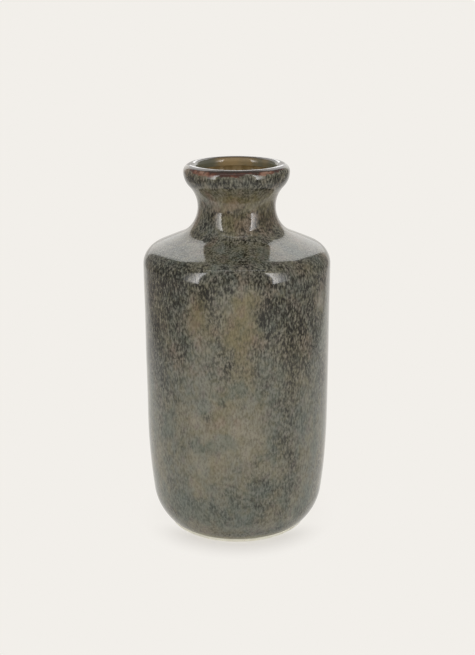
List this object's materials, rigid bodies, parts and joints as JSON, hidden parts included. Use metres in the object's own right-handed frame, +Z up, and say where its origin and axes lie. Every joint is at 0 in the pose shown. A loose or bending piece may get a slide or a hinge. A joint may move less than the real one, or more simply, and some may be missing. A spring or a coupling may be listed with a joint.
{
  "type": "bottle vase",
  "caption": "Glazed stoneware bottle vase: tall straight-walled body, round shoulder, pinched neck, flared rounded lip and bare foot ring.",
  "frame": {"origin": "centre of the foot ring, on the plane that the vase stands on", "axes": "+Z up the axis of the vase, from the foot to the mouth; +X and +Y level, and the round form has no front"},
  "size_m": [0.13, 0.13, 0.26],
  "materials": {
    "clay_body": "pale buff stoneware, bare and matt at the foot ring",
    "base_glaze": "glossy olive-brown first coat outside",
    "mottle_glaze": "glossy second coat, grey-green speckle over olive tan",
    "lip_glaze": "glossy rust-brown band where the glaze breaks on the lip",
    "liner_glaze": "glossy tan-olive coat inside",
    "recess_glaze": "glossy olive-brown coat on the recess under the foot"
  },
  "bodies": {
    "root": {"clay_body": "clay_body", "base_glaze": "base_glaze", "mottle_glaze": "mottle_glaze", "lip_glaze": "lip_glaze", "liner_glaze": "liner_glaze", "recess_glaze": "recess_glaze"}
  },
  "joints": []
}
